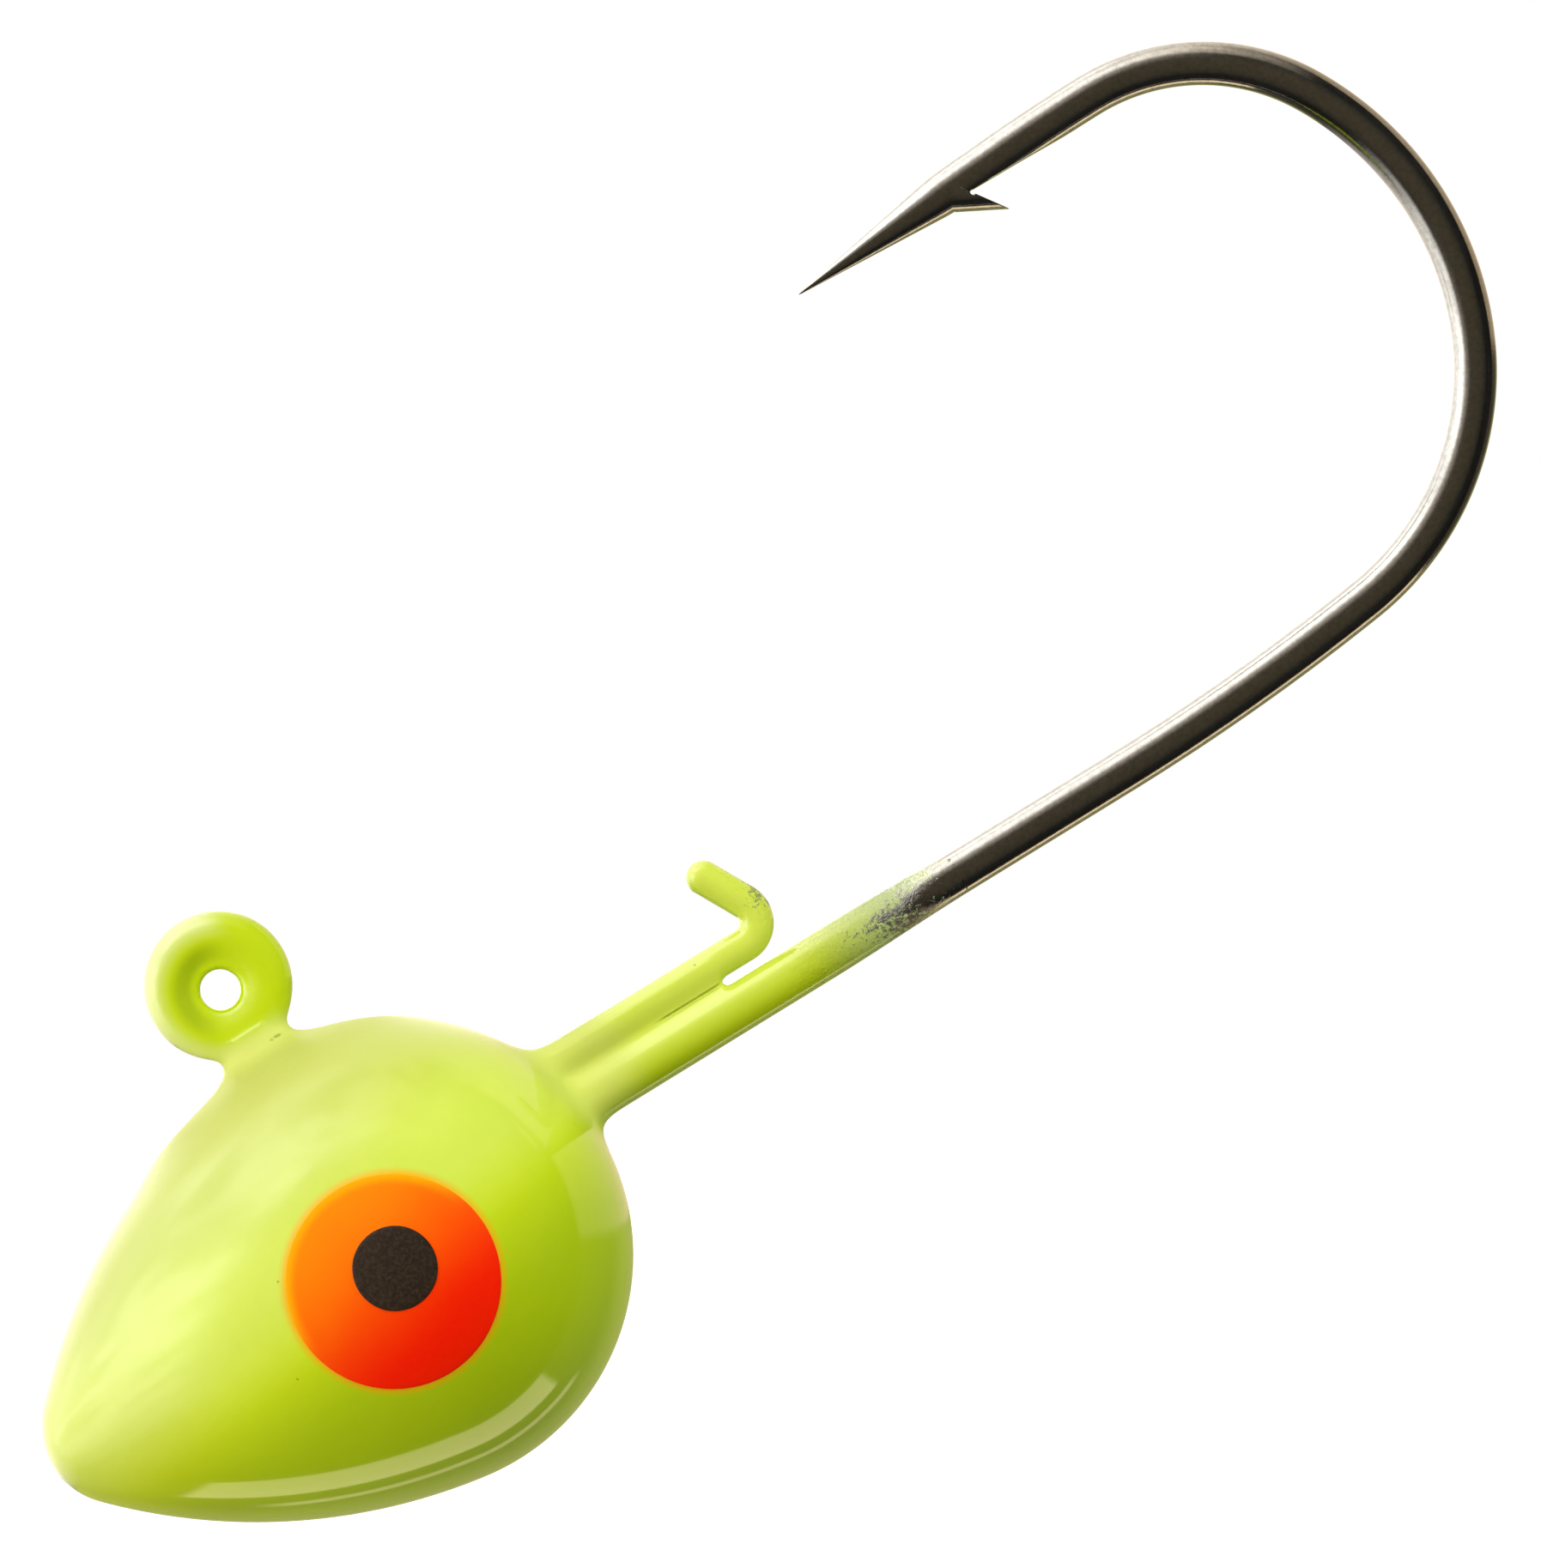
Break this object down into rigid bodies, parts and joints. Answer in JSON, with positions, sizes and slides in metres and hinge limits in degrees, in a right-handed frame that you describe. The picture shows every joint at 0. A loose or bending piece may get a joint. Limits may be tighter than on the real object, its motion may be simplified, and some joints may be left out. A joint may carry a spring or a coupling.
{
  "type": "jig head",
  "caption": "Teardrop lead jig head for soft lures: a right-angle jig hook with a lifted barb, a wire bait keeper cast in beside the shank, a fluorescent powder coat and printed eyes.",
  "frame": {"origin": "centre of the line hole in the eyelet", "axes": "+X along the shank from the head to the bend, +Z from the shank to the point's leg, up as the jig is fished, +Y across, with the hook in the plane y = 0"},
  "size_m": [0.0386, 0.01, 0.0184],
  "materials": {
    "black_nickel": "polished",
    "lead": "satin",
    "powder_coat": "gloss",
    "iris_ink": "gloss",
    "pupil_ink": "gloss"
  },
  "bodies": {
    "root": {"hook": "black_nickel", "head_casting": "lead", "bait_keeper": "black_nickel", "head_coat": "powder_coat", "eyelet_coat": "powder_coat", "shank_coat": "powder_coat", "keeper_coat": "powder_coat", "left_iris": "iris_ink", "left_pupil": "pupil_ink", "right_iris": "iris_ink", "right_pupil": "pupil_ink"}
  },
  "joints": []
}
